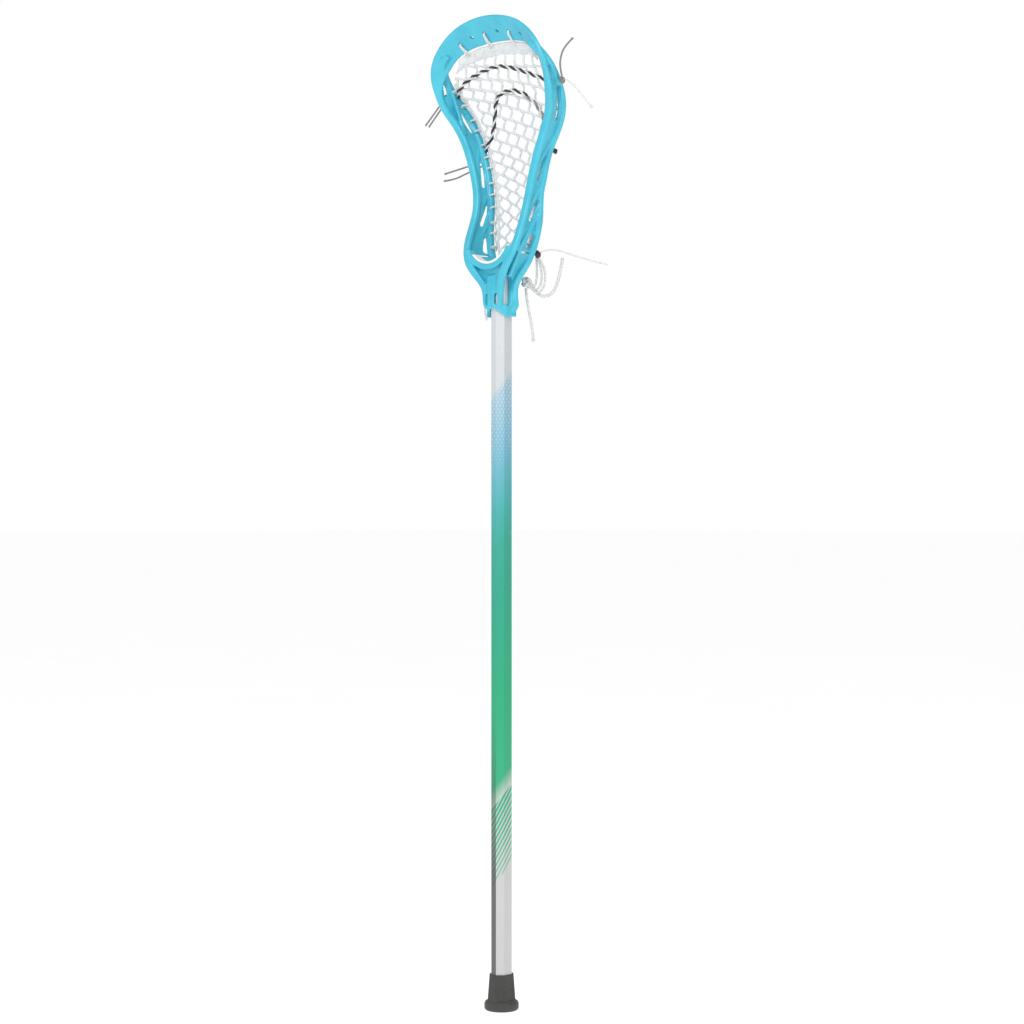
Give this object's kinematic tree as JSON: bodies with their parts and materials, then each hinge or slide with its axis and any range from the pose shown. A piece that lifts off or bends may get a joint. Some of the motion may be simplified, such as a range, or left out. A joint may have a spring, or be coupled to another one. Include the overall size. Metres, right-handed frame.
{
  "type": "lacrosse stick",
  "caption": "Complete lacrosse stick: a strung open moulded head with a mesh pocket, on a hollow octagonal shaft with a rubber butt cap.",
  "frame": {"origin": "middle of the butt cap's flat end, on the shaft's axis", "axes": "+Z along the shaft towards the head, -Y out of the head's catching side, +Y the side the pocket hangs to, +X to the right seen from the catching side"},
  "size_m": [0.2365, 0.1019, 1.0887],
  "materials": {
    "head_plastic": "turquoise moulded nylon, satin gloss",
    "shaft_finish": "satin lacquer fading from silver white through light blue, teal and green to silver",
    "cap_rubber": "matte dark grey moulded rubber",
    "screw_steel": "zinc plated cross-head screw",
    "stop_foam": "white closed-cell foam strip",
    "mesh_cord": "white knitted polyester mesh cord",
    "white_cord": "white braided nylon cord",
    "grey_cord": "grey braided nylon cord",
    "shooter_cord": "black and white twisted nylon cord"
  },
  "bodies": {
    "stick": {"ball_stop": "stop_foam", "bottom_string": "white_cord", "head_frame": "head_plastic", "head_screw": "screw_steel", "knot_bottom_left": "white_cord", "knot_bottom_right": "shooter_cord", "knot_lace": "white_cord", "knot_lower_left": "shooter_cord", "knot_lower_right": "shooter_cord", "knot_upper_left": "shooter_cord", "knot_upper_right": "shooter_cord", "pocket_mesh": "mesh_cord", "shaft_tube": "shaft_finish", "shooting_string_lower": "shooter_cord", "shooting_string_upper": "shooter_cord", "sidewall_string_left": "white_cord", "sidewall_string_right": "white_cord", "tail_bottom_hanging": "white_cord", "tail_bottom_left": "white_cord", "tail_bottom_long": "white_cord", "tail_lace": "white_cord", "tail_left_lower_a": "white_cord", "tail_left_lower_b": "white_cord", "tail_left_upper_a": "grey_cord", "tail_left_upper_b": "grey_cord", "tail_right_upper_a": "grey_cord", "tail_right_upper_b": "white_cord", "top_string": "white_cord"},
    "end_cap": {"butt_cap": "cap_rubber"}
  },
  "joints": [
    {"name": "cap_pull", "type": "slide", "parent": "stick", "child": "end_cap", "axis": [0, 0, -1], "range_m": [0, 0.05]}
  ]
}
